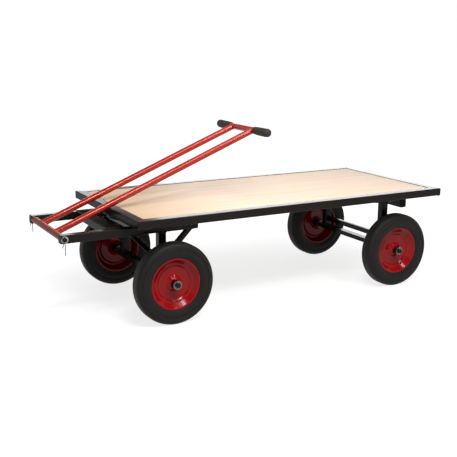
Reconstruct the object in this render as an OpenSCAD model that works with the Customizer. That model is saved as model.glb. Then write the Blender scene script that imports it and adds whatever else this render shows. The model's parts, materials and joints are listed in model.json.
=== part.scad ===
// Platform trolley with a ball-race turntable, a fold-over drawbar handle and four rubber-tyred wheels.
// +X runs towards the drawbar, +Y to the trolley's left, +Z up. The origin lies on the floor below the
// middle of the whole object with the handle folded back over the deck.

/* [Deck] */
// Length of the deck frame
deck_length = 1810; // [1500:10:2200]
// Width of the deck frame
deck_width = 842; // [780:2:1000]
// Height of the deck frame's top above the floor
deck_height = 527; // [515:1:560]
// Width of the deck frame's box section
rail_width = 50; // [40:1:60]
// Depth of the deck frame's box section
rail_depth = 40; // [36:1:50]
// Wall of the frame's box sections
rail_wall = 3; // [2:0.5:4]
// Rounding of the box sections' outer corners
tube_corner = 4; // [2:0.5:6]
// Thickness of the plywood board
board_thickness = 18; // [15:1:18]
// Gap between the board's edge and the frame
board_gap = 1; // [0.5:0.5:2]
// Width of a bearer below the board
bearer_width = 40; // [30:1:50]
// Depth of a bearer below the board
bearer_depth = 20; // [16:1:20]
// Number of bearers between the turntable and the rear frame
plain_bearers = 3; // [1:1:5]
// Radius of a board screw's shank
screw_r = 2.5; // [2:0.5:3]

/* [Running gear] */
// Distance from the deck's front edge to the front axle
front_inset = 200; // [198:1:240]
// Distance between the axles
wheelbase = 1342; // [1250:1:1400]
// Distance between the middle planes of an axle's wheels
track = 736; // [720:1:760]
// Width of an axle beam, along the trolley
axle_width = 40; // [30:1:40]
// Height of an axle beam
axle_height = 25; // [25:1:30]
// Radius of the spindle that a wheel turns on
spindle_r = 12.5; // [10:0.5:15]
// Outer size of the square leg tube
leg_size = 40; // [30:1:45]
// Distance between the outer faces of the rear legs
rear_leg_span = 560; // [520:2:570]
// Outer size of the square brace tube
brace_size = 25; // [20:1:30]
// Distance from the front axle to the far edge of a brace's top
brace_reach = 168; // [140:1:180]
// Drop of a brace's lower edge from its arm to its leg
brace_drop = 148; // [130:1:155]
// Distance from the rear axle back to the rear frame's cross rail
cross_rail_offset = 126; // [110:1:150]
// Height of the tie bar between the rear legs
tie_height = 27; // [20:1:35]
// Thickness of the tie bar between the rear legs
tie_width = 20; // [12:1:30]
// Gap between the rear axle beam and the tie bar
tie_gap = 27.5; // [15:0.5:50]

/* [Wheels] */
// Outer diameter of the tyre
tyre_diameter = 400; // [380:2:410]
// Width of the tyre
tyre_width = 86; // [80:1:90]
// Radius of the rim's flange
rim_r = 127.5; // [120:0.5:135]
// Width over the rim's flanges
rim_width = 62; // [56:1:66]
// Thickness of the rim's pressed sheet
rim_sheet = 3; // [2:0.5:3.5]
// Length of the hub tube
hub_length = 88; // [80:1:92]
// Outer radius of the hub tube
hub_r = 22.5; // [21:0.5:24]
// Length of a wheel bearing
bearing_length = 24; // [16:1:30]
// Radial wall of a wheel bearing
bearing_wall = 5; // [4:0.5:6]

/* [Turntable] */
// Height of the ball race between the arms and the deck
race_height = 27; // [26:1:32]
// Radius of the circle that the balls run on
race_r = 160; // [156:1:162]
// Radius of a ball
ball_r = 7; // [6:0.5:7]
// Number of balls in the race
ball_count = 36; // [24:1:48]
// Thickness of a race ring's flange
race_flange = 5.5; // [4:0.5:6]
// Radial width of a race ring's wall
race_wall = 13; // [11:0.5:14]
// Width of the bolting lip beside a race ring's wall
race_lip = 21; // [20:1:24]
// Distance from the front axle to a bolt of the upper ring, along the trolley
upper_bolt_x = 125; // [121:1:127]
// Distance from the front axle to a bolt of the lower ring, along the trolley
lower_bolt_x = 100; // [94:1:106]
// Radius of a race bolt's shank
race_bolt_r = 5; // [4:0.5:6]

/* [Drawbar and handle] */
// Outer size of the square arm tube
arm_size = 40; // [36:1:44]
// Distance between the arms' outer faces
arm_span = 502; // [480:2:510]
// Distance from the deck's front edge to the arms' tips
arm_reach = 299; // [260:1:330]
// Distance from the front axle back to the arms' rear ends
arm_tail = 189; // [180:1:200]
// Width of the cross member in front of the deck, along the trolley
cross_width = 58; // [40:1:60]
// Gap between the deck's front edge and that cross member
cross_gap = 8; // [4:1:20]
// Thickness of the plastic end caps
cap_thickness = 3; // [2:0.5:4]
// Distance from the arms' tips back to the handle's hinge rod
hinge_inset = 14; // [13:0.5:20]
// Height of the hinge rod above the middle of the arms
hinge_rise = 0; // [-2:0.5:5]
// Radius of the hinge rod
rod_r = 10; // [8:0.5:10]
// Length of the handle between the middles of its cross tubes
handle_length = 1153; // [1000:1:1250]
// Angle of the folded handle above the deck, in degrees
fold_angle = 21.7; // [21:0.1:28]
// Distance between the middles of the handle's long tubes
handle_spacing = 206; // [180:2:260]
// Outer radius of the handle's long tubes
handle_r = 16; // [14:0.1:16]
// Outer radius of the handle's lower cross tube
lower_tube_r = 16.8; // [16.2:0.1:17]
// Outer radius of the handle's upper cross tube
upper_tube_r = 16.2; // [16.2:0.1:16.8]
// Wall of the handle's tubes
handle_wall = 2.5; // [2:0.5:3]
// Length over the handle's grips
grip_span = 514; // [500:2:600]
// Length of a grip
grip_length = 137; // [110:1:137]
// Outer radius of a grip's sleeve at its mouth
grip_r = 19; // [18:0.1:20]
// Radius of the wire of a spring clip
clip_r = 2; // [1.5:0.5:2]

/* [Hidden] */
$fn = 48;

// Clearances
run_gap = 0.05;    // radial gap of a running fit
bolt_gap = 0.25;   // radial gap round a bolt or a rod in a plain hole
side_gap = 0.4;    // sideways gap between a turning part and its neighbour
seat_gap = 0.02;   // radial gap of a pressed-in bearing or bush
through = 1;       // how far a cutter runs past the face that it cuts

// Deck
deck_bottom = deck_height - rail_depth;
deck_front = (deck_length - arm_reach - cap_thickness) / 2;
deck_rear = deck_front - deck_length;
deck_mid = (deck_front + deck_rear) / 2;
inner_length = deck_length - 2 * rail_width;
inner_width = deck_width - 2 * rail_width;
bearer_top = deck_bottom + bearer_depth;
front_x = deck_front - front_inset;
rear_x = front_x - wheelbase;
axle_z = tyre_diameter / 2;

// Turntable
arm_top = deck_bottom - race_height;
arm_bottom = arm_top - arm_size;
arm_y = (arm_span - arm_size) / 2;
ball_z = arm_top + race_height / 2;
race_half_gap = 1;
upper_bolt_r = race_r + race_half_gap + race_wall + race_lip / 2;
upper_bolt_y = sqrt(pow(upper_bolt_r, 2) - pow(upper_bolt_x, 2));
lower_bolt_r = race_r - race_half_gap - race_wall - race_lip / 2;
lower_bolt_y = sqrt(pow(lower_bolt_r, 2) - pow(lower_bolt_x, 2));
bolt_head_h = 1.3 * race_bolt_r;
bolt_head_r = 1.85 * race_bolt_r;
nut_h = 1.5 * race_bolt_r;
bolt_grip = race_flange + rail_wall;
bolt_shank = bolt_grip + nut_h + 1;

// Rear frame
rail_z = deck_bottom - leg_size;
rear_rail_y = (rear_leg_span - leg_size) / 2;
cross_x = rear_x - cross_rail_offset;
rear_rail_front = rear_x + leg_size * 1.5;
beam_top = axle_z + axle_height / 2;

// Bearers: two take the turntable's bolts, two lie on the rear frame, the rest are spaced evenly between
ring_bearer_x = front_x - upper_bolt_x;
rear_bearer_x = rear_x + leg_size;
plain_step = (ring_bearer_x - rear_bearer_x) / (plain_bearers + 1);
bearer_xs = concat(
    [front_x + upper_bolt_x],
    [for (i = [0:plain_bearers]) ring_bearer_x - i * plain_step],
    [rear_bearer_x, cross_x]
);
screw_row_y = (rear_leg_span + inner_width) / 4;
screw_rows = [-screw_row_y, 0, screw_row_y];
screw_bite = 12;
screw_head_r = 2 * screw_r;
screw_head_h = 3;

// Wheels, measured from the wheel's own middle
bearing_r = spindle_r + run_gap + bearing_wall;
hub_bore = bearing_r + seat_gap;
barrel_r = rim_r - 8.5;
barrel_bore = barrel_r - rim_sheet;
wall_y = rim_width / 2 - 4;
ledge_r = 0.77 * rim_r;
ledge_y = 11;
step_r = 0.71 * rim_r;
dish_r = 0.64 * rim_r;
dish_y = 3;
boss_r = 42;
boss_y = 18;
bead_y = rim_width / 2 - rim_sheet;
tread_half = 0.2 * tyre_width;
shoulder_r = tyre_width / 2 - tread_half;
shoulder_ridge = 1;
sidewall_r = tyre_diameter / 2 - 50;

// Axle ends
washer_t = 3;
washer_r = hub_r - 0.5;
washer_y = track / 2 + hub_length / 2 + side_gap;
beam_end = track / 2 - hub_length / 2 - side_gap - washer_t;
split_pin_r = 2;
split_pin_y = washer_y + washer_t + side_gap + split_pin_r;
spindle_end = split_pin_y + 3 * split_pin_r;

// Drawbar and handle
arm_tip = deck_front + arm_reach;
arm_z = arm_top - arm_size / 2;
arm_inner = arm_span / 2 - arm_size;
hinge_x = arm_tip - hinge_inset;
hinge_z = arm_z + hinge_rise;
bush_flange = 2;
bush_length = 30;
lower_half = arm_inner - side_gap - bush_flange;
grip_bore = upper_tube_r + seat_gap;
grip_floor = 4;
grip_rim = 2.5;
rod_washer_t = 2.5;
rod_washer_r = hinge_inset + cap_thickness - side_gap;
clip_y = arm_span / 2 + rod_washer_t + side_gap + clip_r;
rod_end = clip_y + 3 * clip_r;
tip_plug = hinge_inset - rod_r - 2 * bolt_gap;
tube_plug = 10;

// Spring clip: the spring leg hugs the rod, kinks in below it and flares out again
clip_coil_r = (rod_r + clip_r + run_gap) / 2;
clip_coil_z = rod_r + clip_r;
clip_hug_r = 2 * clip_coil_r;
bend_lap = 2;
clip_tail = 12;
clip_leg = 72;

PAINT = "#1d1d1f";
RED = "#b3151b";
ZINC = "#b9bcc0";
RUBBER = "#262628";

// ---- shared shapes ----

// A flat oblong with rounded corners, centred
module rounded_oblong(w, h, r) {
    square([w - 2 * r, h], center = true);
    square([w, h - 2 * r], center = true);
    for (x = [-1, 1], y = [-1, 1])
        translate([x * (w / 2 - r), y * (h / 2 - r)]) circle(r, $fn = 32);
}

// A box section of width w and height h, running along +Z from the origin
module box_section(length, w, h, wall = rail_wall) {
    linear_extrude(length)
        difference() {
            rounded_oblong(w, h, tube_corner);
            square([w - 2 * wall, h - 2 * wall], center = true);
        }
}

// The same section laid along +X (w across, h upright), along +Y, or standing
module box_along_x(x0, x1, w, h) {
    translate([x0, 0, 0]) rotate([90, 0, 90]) box_section(x1 - x0, w, h);
}
module box_along_y(y0, y1, w, h) {
    translate([0, y0, 0]) rotate([-90, 0, 0]) box_section(y1 - y0, w, h);
}

// A rod or a drill of radius r along Y, from y0 to y1
module bar_y(y0, y1, r) {
    translate([0, y0, 0]) rotate([-90, 0, 0]) cylinder(h = y1 - y0, r = r);
}

// A round tube along Y
module tube_y(y0, y1, r, bore) {
    difference() {
        bar_y(y0, y1, r);
        bar_y(y0 - through, y1 + through, bore);
    }
}

module at_front() { translate([front_x, 0, 0]) children(); }
module at_rear() { translate([rear_x, 0, 0]) children(); }

// Both sides of the trolley
module both_sides() {
    children();
    mirror([0, 1, 0]) children();
}

// ---- deck ----

// A deck rail with mitred ends. Its outer face is the plane y = 0 and its length runs along X.
module mitred_rail(length) {
    half = length / 2;
    inner_half = half - rail_width;
    intersection() {
        translate([0, -rail_width / 2, 0]) box_along_x(-half, half, rail_width, rail_depth);
        translate([0, 0, -rail_depth / 2 - through])
            linear_extrude(rail_depth + 2 * through)
                polygon([[-half, 0], [half, 0], [inner_half, -rail_width], [-inner_half, -rail_width]]);
    }
}

module at_deck_frame() {
    translate([deck_mid, 0, deck_bottom + rail_depth / 2]) children();
}

module deck_side_rail_left() {
    color(PAINT)
        at_deck_frame() translate([0, deck_width / 2, 0]) mitred_rail(deck_length);
}

module deck_side_rail_right() {
    color(PAINT)
        at_deck_frame() rotate([0, 0, 180]) translate([0, deck_width / 2, 0]) mitred_rail(deck_length);
}

module deck_end_rail_front() {
    color(PAINT)
        at_deck_frame() rotate([0, 0, -90]) translate([0, deck_length / 2, 0]) mitred_rail(deck_width);
}

module deck_end_rail_rear() {
    color(PAINT)
        at_deck_frame() rotate([0, 0, 90]) translate([0, deck_length / 2, 0]) mitred_rail(deck_width);
}

module deck_board() {
    board = [inner_length - 2 * board_gap, inner_width - 2 * board_gap, board_thickness];
    color("#d9c39c")
        difference() {
            translate([deck_mid, 0, bearer_top + board_thickness / 2]) cube(board, center = true);
            at_board_screws() cylinder(h = bearer_depth + screw_bite, r = screw_r);
        }
}

// Every place where a screw holds the board down on a bearer, at the bearer's underside
module at_board_screws() {
    for (x = bearer_xs, y = screw_rows)
        translate([x, y, deck_bottom]) children();
}

module deck_bearers() {
    color(PAINT)
        difference() {
            for (x = bearer_xs)
                translate([x, 0, deck_bottom + bearer_depth / 2])
                    box_along_y(-inner_width / 2, inner_width / 2, bearer_width, bearer_depth);
            at_ring_bolts(upper_bolt_x, upper_bolt_y)
                translate([0, 0, deck_bottom - through])
                    cylinder(h = rail_wall + 2 * through, r = race_bolt_r + bolt_gap);
            at_board_screws()
                translate([0, 0, -through])
                    cylinder(h = bearer_depth + 2 * through, r = screw_r + bolt_gap);
        }
}

module board_screws() {
    color(ZINC)
        at_board_screws() {
            translate([0, 0, -screw_head_h]) cylinder(h = screw_head_h, r = screw_head_r);
            cylinder(h = bearer_depth + screw_bite, r = screw_r);
        }
}

// ---- turntable ----

// The four places of a ring's bolts, around the turntable's axis
module at_ring_bolts(x, y) {
    for (i = [-1, 1], j = [-1, 1])
        translate([front_x + i * x, j * y, 0]) children();
}

// The section of a race ring about the middle of its ball: a flange, a wall beside the balls and a
// lip for the bolts. The lower ring has its wall and lip inside the balls (out = -1); the upper ring,
// which is the same section turned over, has them outside (out = 1).
module race_section(out) {
    wall_from = race_half_gap + race_wall;
    difference() {
        union() {
            translate([-wall_from, -race_height / 2]) square([2 * wall_from, race_flange]);
            translate([out > 0 ? wall_from : -wall_from - race_lip, -race_height / 2])
                square([race_lip, race_flange]);
            translate([out > 0 ? race_half_gap : -wall_from, -race_height / 2])
                square([race_wall, race_height - race_flange - 2 * race_half_gap]);
        }
        circle(ball_r + run_gap);
    }
}

module race_ring(out, bolt_x, bolt_y) {
    difference() {
        translate([front_x, 0, ball_z])
            mirror([0, 0, out > 0 ? 1 : 0])
                rotate_extrude($fn = 96) translate([race_r, 0]) race_section(out);
        at_ring_bolts(bolt_x, bolt_y)
            translate([0, 0, arm_top - through])
                cylinder(h = race_height + 2 * through, r = race_bolt_r + bolt_gap);
    }
}

module turntable_upper_ring() { color(PAINT) race_ring(1, upper_bolt_x, upper_bolt_y); }
module turntable_lower_ring() { color(PAINT) race_ring(-1, lower_bolt_x, lower_bolt_y); }

module turntable_balls() {
    color(ZINC)
        for (i = [0:ball_count - 1])
            translate([front_x, 0, ball_z])
                rotate([0, 0, i * 360 / ball_count])
                    translate([race_r, 0, 0]) sphere(ball_r, $fn = 24);
}

// A hexagon bolt that clamps a ring's lip to a tube's wall. The lip's free face is at z = 0.
module ring_bolt() {
    translate([0, 0, -bolt_head_h]) cylinder(h = bolt_head_h, r = bolt_head_r, $fn = 6);
    cylinder(h = bolt_shank, r = race_bolt_r);
}

// Its nut, welded inside the tube
module ring_nut() {
    translate([0, 0, bolt_grip])
        difference() {
            cylinder(h = nut_h, r = bolt_head_r, $fn = 6);
            translate([0, 0, -through]) cylinder(h = nut_h + 2 * through, r = race_bolt_r + run_gap);
        }
}

module upper_ring_bolts() {
    color(ZINC)
        at_ring_bolts(upper_bolt_x, upper_bolt_y)
            translate([0, 0, deck_bottom - race_flange]) {
                ring_bolt();
                ring_nut();
            }
}

module lower_ring_bolts() {
    color(ZINC)
        at_ring_bolts(lower_bolt_x, lower_bolt_y)
            translate([0, 0, arm_top + race_flange])
                mirror([0, 0, 1]) {
                    ring_bolt();
                    ring_nut();
                }
}

// ---- drawbar frame, which steers with the front axle ----

module drawbar_arm(side) {
    color(PAINT)
        difference() {
            translate([0, side * arm_y, arm_z]) box_along_x(front_x - arm_tail, arm_tip, arm_size, arm_size);
            translate([hinge_x, side * arm_y, hinge_z]) bar_y(-arm_size, arm_size, rod_r + bolt_gap);
        }
}

module drawbar_arm_left() { drawbar_arm(1); }
module drawbar_arm_right() { drawbar_arm(-1); }

// A tube of the given width between the arms, with its middle at x
module arm_cross_tube(x, width) {
    translate([x, 0, arm_z]) box_along_y(-arm_inner, arm_inner, width, arm_size);
}

module drawbar_cross_member() {
    color(PAINT) arm_cross_tube(deck_front + cross_gap + cross_width / 2, cross_width);
}

module turntable_members() {
    color(PAINT)
        difference() {
            for (end = [-1, 1]) arm_cross_tube(front_x + end * lower_bolt_x, arm_size);
            at_ring_bolts(lower_bolt_x, lower_bolt_y)
                translate([0, 0, arm_top - rail_wall - through])
                    cylinder(h = rail_wall + 2 * through, r = race_bolt_r + bolt_gap);
        }
}

module tail_member() {
    color(PAINT) arm_cross_tube(front_x - arm_tail + arm_size / 2, arm_size);
}

// A cap over a square tube's mouth, facing +X, with a plug that reaches into the tube
module end_cap(size, plug_depth) {
    plug = size - 2 * rail_wall - 2 * bolt_gap;
    rotate([90, 0, 90])
        linear_extrude(cap_thickness)
            rounded_oblong(size, size, size / 5);
    translate([-plug_depth, -plug / 2, -plug / 2]) cube([plug_depth, plug, plug]);
}

module arm_end_caps() {
    color(RUBBER)
        both_sides() {
            translate([arm_tip, arm_y, arm_z]) end_cap(arm_size, tip_plug);
            translate([front_x - arm_tail, arm_y, arm_z]) mirror([1, 0, 0]) end_cap(arm_size, tube_plug);
        }
}

// A square leg that stands on an axle beam
module leg(y, top) {
    color(PAINT)
        translate([0, y, beam_top]) box_section(top - beam_top, leg_size, leg_size);
}

module front_leg_left() { at_front() leg(arm_y, arm_bottom); }
module front_leg_right() { at_front() leg(-arm_y, arm_bottom); }

// Struts from the arms down to the legs, fore and aft, cut flush with both
module front_braces() {
    span = brace_reach - leg_size / 2;
    slope = atan(brace_drop / span);
    run = 2 * brace_reach;
    color(PAINT)
        at_front()
            both_sides()
                for (fore = [0, 1])
                    mirror([fore, 0, 0])
                        translate([0, arm_y, 0])
                            intersection() {
                                translate([-brace_reach, 0, arm_bottom])
                                    rotate([0, slope, 0])
                                        translate([0, 0, brace_size / 2])
                                            box_along_x(-run / 2, run, brace_size, brace_size);
                                translate([-brace_reach - run, -arm_size / 2, axle_z])
                                    cube([run + brace_reach - leg_size / 2, arm_size, arm_bottom - axle_z]);
                            }
}

// A beam whose ends are turned down to the spindles that the wheels run on
module axle() {
    color(PAINT)
    difference() {
        union() {
            translate([-axle_width / 2, -beam_end, axle_z - axle_height / 2])
                cube([axle_width, 2 * beam_end, axle_height]);
            translate([0, 0, axle_z]) bar_y(-spindle_end, spindle_end, spindle_r);
        }
        both_sides()
            translate([0, split_pin_y, axle_z - spindle_r - through])
                cylinder(h = 2 * (spindle_r + through), r = split_pin_r + run_gap);
    }
}

module front_axle() { at_front() axle(); }
module rear_axle() { at_rear() axle(); }

// ---- rear frame ----

module rear_frame_rails() {
    color(PAINT)
        both_sides()
            translate([0, rear_rail_y, rail_z + leg_size / 2])
                box_along_x(cross_x - leg_size / 2, rear_rail_front, leg_size, leg_size);
}

module rear_leg_left() { at_rear() leg(rear_rail_y, rail_z); }
module rear_leg_right() { at_rear() leg(-rear_rail_y, rail_z); }

module rear_tie_bar() {
    half = rear_rail_y - leg_size / 2;
    color(PAINT)
        translate([rear_x - tie_width / 2, -half, beam_top + tie_gap])
            cube([tie_width, 2 * half, tie_height]);
}

module rear_cross_rail() {
    half = rear_leg_span / 2;
    color(PAINT)
        translate([cross_x, 0, rail_z - leg_size / 2])
            box_along_y(-half, half, leg_size, leg_size);
}

module rear_rail_caps() {
    color(RUBBER)
        both_sides() {
            translate([cross_x, rear_leg_span / 2, rail_z - leg_size / 2])
                rotate([0, 0, 90]) end_cap(leg_size, tube_plug);
            translate([rear_rail_front, rear_rail_y, rail_z + leg_size / 2]) end_cap(leg_size, tube_plug);
            translate([cross_x - leg_size / 2, rear_rail_y, rail_z + leg_size / 2])
                mirror([1, 0, 0]) end_cap(leg_size, tube_plug);
        }
}

// ---- handle ----

// The handle's own frame: origin on the hinge, +X up the folded handle
module on_handle() {
    translate([hinge_x, 0, hinge_z])
        rotate([0, fold_angle, 0])
            mirror([1, 0, 0]) children();
}

module handle_tube(side) {
    color(RED)
        on_handle()
            translate([0, side * handle_spacing / 2, 0])
                difference() {
                    rotate([0, 90, 0]) cylinder(h = handle_length, r = handle_r);
                    translate([-through, 0, 0])
                        rotate([0, 90, 0])
                            cylinder(h = handle_length + 2 * through, r = handle_r - handle_wall);
                    bar_y(-2 * handle_r, 2 * handle_r, lower_tube_r);
                    translate([handle_length, 0, 0]) bar_y(-2 * handle_r, 2 * handle_r, upper_tube_r);
                }
}

module handle_tube_left() { handle_tube(1); }
module handle_tube_right() { handle_tube(-1); }

module handle_lower_tube() {
    color(RED)
        on_handle()
            tube_y(-lower_half, lower_half, lower_tube_r, lower_tube_r - handle_wall);
}

module handle_upper_tube() {
    half = grip_span / 2 - grip_floor;
    color(RED)
        on_handle()
            translate([handle_length, 0, 0])
                tube_y(-half, half, upper_tube_r, upper_tube_r - handle_wall);
}

// A sleeve with a closed end inside a rounded rim. It runs along +Y from its open mouth.
module grip() {
    mouth = grip_span / 2 - grip_length;
    end_r = grip_r + grip_rim;
    color(RUBBER)
        on_handle()
            translate([handle_length, mouth, 0])
                rotate([-90, 0, 0])
                    difference() {
                        rotate_extrude() {
                            square([grip_r, grip_length]);
                            translate([0, grip_length - 2 * grip_rim]) square([grip_r, 2 * grip_rim]);
                            translate([grip_r, grip_length - grip_rim]) circle(grip_rim, $fn = 24);
                        }
                        translate([0, 0, -through])
                            cylinder(h = grip_length - grip_floor + through, r = grip_bore);
                    }
}

module grip_left() { grip(); }
module grip_right() { mirror([0, 1, 0]) grip(); }

// Flanged bushes that centre the lower tube on its rod
module handle_bushes() {
    color("#d8d8d2")
        on_handle()
            both_sides()
                translate([0, lower_half, 0])
                    difference() {
                        union() {
                            bar_y(0, bush_flange, lower_tube_r);
                            bar_y(-bush_length, 0, lower_tube_r - handle_wall - seat_gap);
                        }
                        bar_y(-bush_length - through, bush_flange + through, rod_r + run_gap);
                    }
}

module hinge_rod() {
    color(ZINC)
        translate([hinge_x, 0, hinge_z])
            difference() {
                bar_y(-rod_end, rod_end, rod_r);
                both_sides()
                    translate([0, clip_y, -rod_r - through])
                        cylinder(h = 2 * (rod_r + through), r = clip_r + run_gap);
            }
}

module rod_washers() {
    color(ZINC)
        translate([hinge_x, 0, hinge_z])
            both_sides()
                translate([0, arm_span / 2, 0]) tube_y(0, rod_washer_t, rod_washer_r, rod_r + run_gap);
}

// A bent wire that starts up +Z from the origin. Each step is [straight length, bend radius, turn
// towards +X]. The bends are a shade thinner than the straights and end inside them.
module bent_wire(steps, i = 0) {
    length = steps[i][0];
    bend_r = steps[i][1];
    turn = steps[i][2];
    centre_x = turn > 0 ? bend_r : -bend_r;
    cylinder(h = length, r = clip_r, $fn = 24);
    if (i < len(steps) - 1)
        translate([centre_x, 0, length]) {
            rotate([90, 0, 0])
                rotate([0, 0, (turn > 0 ? 180 - turn : 0) - bend_lap])
                    rotate_extrude(angle = abs(turn) + 2 * bend_lap)
                        translate([bend_r, 0]) circle(clip_r - run_gap, $fn = 24);
            rotate([0, turn, 0]) translate([-centre_x, 0, 0]) bent_wire(steps, i + 1);
        }
}

// An R-shaped clip round the rod's axis: a straight leg comes up through the rod to a coil, and a
// spring leg goes down beside it, hugs the rod, kinks in below it and flares out
module spring_clip() {
    translate([0, 0, -clip_leg])
        bent_wire([
            [clip_leg + clip_coil_z, clip_coil_r, 180],
            [clip_coil_z, clip_hug_r, 45],
            [1.5, 6, -80],
            [clip_tail, 0, 0]
        ]);
}

module spring_clips() {
    color(ZINC)
        translate([hinge_x, 0, hinge_z])
            both_sides()
                translate([0, clip_y, 0]) spring_clip();
}

// ---- wheels ----

// One side of the tyre's outline from the bead up to the tread, as [radius, side distance]
tyre_side = concat(
    [[barrel_r, bead_y], [rim_r, bead_y], [rim_r + 1, rim_width / 2 + 2], [sidewall_r, tyre_width / 2]],
    [[tyre_diameter / 2 - shoulder_r, tyre_width / 2 - shoulder_ridge]],
    [for (a = [0:15:90]) [tyre_diameter / 2 - shoulder_r * (1 - sin(a)), tread_half + shoulder_r * cos(a)]]
);

// A solid, puncture-proof tyre: beads between the rim's flanges, bulging sides, and rounded shoulders
// that stand a little proud of the sides
module tyre() {
    last = len(tyre_side) - 1;
    color(RUBBER)
        rotate_extrude($fn = 96)
            polygon(concat(tyre_side, [for (i = [last:-1:0]) [tyre_side[i][0], -tyre_side[i][1]]]));
}

// The rim disc's outer face, as [radius, side distance]: a sloping wall inside the flange, a ledge, a
// step down to the dish, and a coned boss at the hub
disc_face = [
    [barrel_bore, wall_y],
    [ledge_r, ledge_y],
    [step_r, ledge_y],
    [dish_r, dish_y],
    [boss_r, dish_y],
    [hub_r, boss_y]
];

// A pressed rim: a barrel with a flange at each side, and the disc that carries the hub
module rim() {
    color(RED)
        rotate_extrude($fn = 96) {
            translate([barrel_bore, -rim_width / 2]) square([rim_sheet, rim_width]);
            for (y = [-rim_width / 2, bead_y])
                translate([barrel_bore, y]) square([rim_r - barrel_bore, rim_sheet]);
            polygon(concat(disc_face, [for (i = [len(disc_face) - 1:-1:0]) disc_face[i] - [0, rim_sheet]]));
        }
}

module hub() {
    color(ZINC)
        difference() {
            translate([0, 0, -hub_length / 2]) cylinder(h = hub_length, r = hub_r);
            translate([0, 0, -hub_length / 2 - through]) cylinder(h = hub_length + 2 * through, r = hub_bore);
        }
}

module bearings() {
    color(ZINC)
        for (end = [0, 1])
            mirror([0, 0, end])
                difference() {
                    translate([0, 0, hub_length / 2 - bearing_length])
                        cylinder(h = bearing_length, r = bearing_r);
                    cylinder(h = hub_length, r = spindle_r + run_gap);
                }
}

// Puts a wheel's piece on its spindle. The piece's own +Z points outwards along the axle.
module on_spindle(x, side) {
    translate([x, side * track / 2, axle_z]) rotate([-90 * side, 0, 0]) children();
}

module front_left_tyre() { on_spindle(front_x, 1) tyre(); }
module front_left_rim() { on_spindle(front_x, 1) rim(); }
module front_left_hub() { on_spindle(front_x, 1) hub(); }
module front_left_bearings() { on_spindle(front_x, 1) bearings(); }
module front_right_tyre() { on_spindle(front_x, -1) tyre(); }
module front_right_rim() { on_spindle(front_x, -1) rim(); }
module front_right_hub() { on_spindle(front_x, -1) hub(); }
module front_right_bearings() { on_spindle(front_x, -1) bearings(); }
module rear_left_tyre() { on_spindle(rear_x, 1) tyre(); }
module rear_left_rim() { on_spindle(rear_x, 1) rim(); }
module rear_left_hub() { on_spindle(rear_x, 1) hub(); }
module rear_left_bearings() { on_spindle(rear_x, 1) bearings(); }
module rear_right_tyre() { on_spindle(rear_x, -1) tyre(); }
module rear_right_rim() { on_spindle(rear_x, -1) rim(); }
module rear_right_hub() { on_spindle(rear_x, -1) hub(); }
module rear_right_bearings() { on_spindle(rear_x, -1) bearings(); }

// Washers at both sides of each wheel's hub
module axle_washers() {
    color(ZINC)
        both_sides()
            for (y = [beam_end, washer_y])
                translate([0, 0, axle_z]) tube_y(y, y + washer_t, washer_r, spindle_r + run_gap);
}

module front_axle_washers() { at_front() axle_washers(); }
module rear_axle_washers() { at_rear() axle_washers(); }

// Split pins that keep the wheels on: a shank through the spindle and a flat eye above it
module split_pins() {
    shank = 2 * spindle_r + 6;
    eye_r = 2 * split_pin_r;
    eye_thick = 1.5 * split_pin_r;
    color(ZINC)
        both_sides()
            translate([0, split_pin_y, axle_z]) {
                translate([0, 0, -shank / 2]) cylinder(h = shank, r = split_pin_r, $fn = 24);
                translate([0, 0, shank / 2 + eye_r / 2]) bar_y(-eye_thick / 2, eye_thick / 2, eye_r);
            }
}

module front_split_pins() { at_front() split_pins(); }
module rear_split_pins() { at_rear() split_pins(); }

deck_side_rail_left();
deck_side_rail_right();
deck_end_rail_front();
deck_end_rail_rear();
deck_board();
deck_bearers();
board_screws();
turntable_upper_ring();
turntable_lower_ring();
turntable_balls();
upper_ring_bolts();
lower_ring_bolts();
drawbar_arm_left();
drawbar_arm_right();
drawbar_cross_member();
turntable_members();
tail_member();
arm_end_caps();
front_leg_left();
front_leg_right();
front_braces();
front_axle();
rear_frame_rails();
rear_leg_left();
rear_leg_right();
rear_tie_bar();
rear_cross_rail();
rear_rail_caps();
rear_axle();
handle_tube_left();
handle_tube_right();
handle_lower_tube();
handle_upper_tube();
grip_left();
grip_right();
handle_bushes();
hinge_rod();
rod_washers();
spring_clips();
front_left_tyre();
front_left_rim();
front_left_hub();
front_left_bearings();
front_right_tyre();
front_right_rim();
front_right_hub();
front_right_bearings();
rear_left_tyre();
rear_left_rim();
rear_left_hub();
rear_left_bearings();
rear_right_tyre();
rear_right_rim();
rear_right_hub();
rear_right_bearings();
front_axle_washers();
rear_axle_washers();
front_split_pins();
rear_split_pins();
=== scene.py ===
import json
import math

import bmesh
import bpy
from mathutils import Matrix, Quaternion, Vector


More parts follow.
